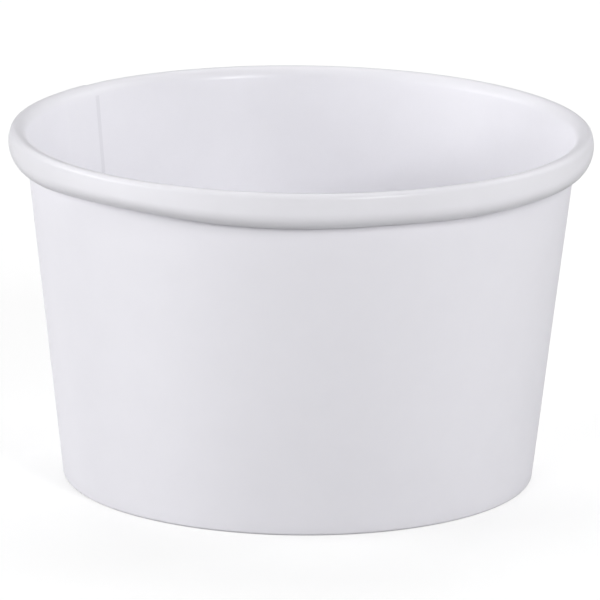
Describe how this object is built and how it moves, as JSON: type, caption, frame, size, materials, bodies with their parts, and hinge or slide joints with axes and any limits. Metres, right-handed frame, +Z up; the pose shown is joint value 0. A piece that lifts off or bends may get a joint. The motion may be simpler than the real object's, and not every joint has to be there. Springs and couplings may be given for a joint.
{
  "type": "soup container",
  "caption": "Squat round paper tub with a tapered wall, a rolled brim, an overlapped side seam and a recessed base.",
  "frame": {"origin": "centre of the standing ring, in the plane that the tub rests on", "axes": "+Z up along the tub's centre line, -Y towards the picture's camera, +X to its right"},
  "size_m": [0.096, 0.096, 0.0585],
  "materials": {
    "wall_board": "satin",
    "base_board": "satin"
  },
  "bodies": {
    "root": {"sidewall": "wall_board", "base": "base_board"}
  },
  "joints": []
}
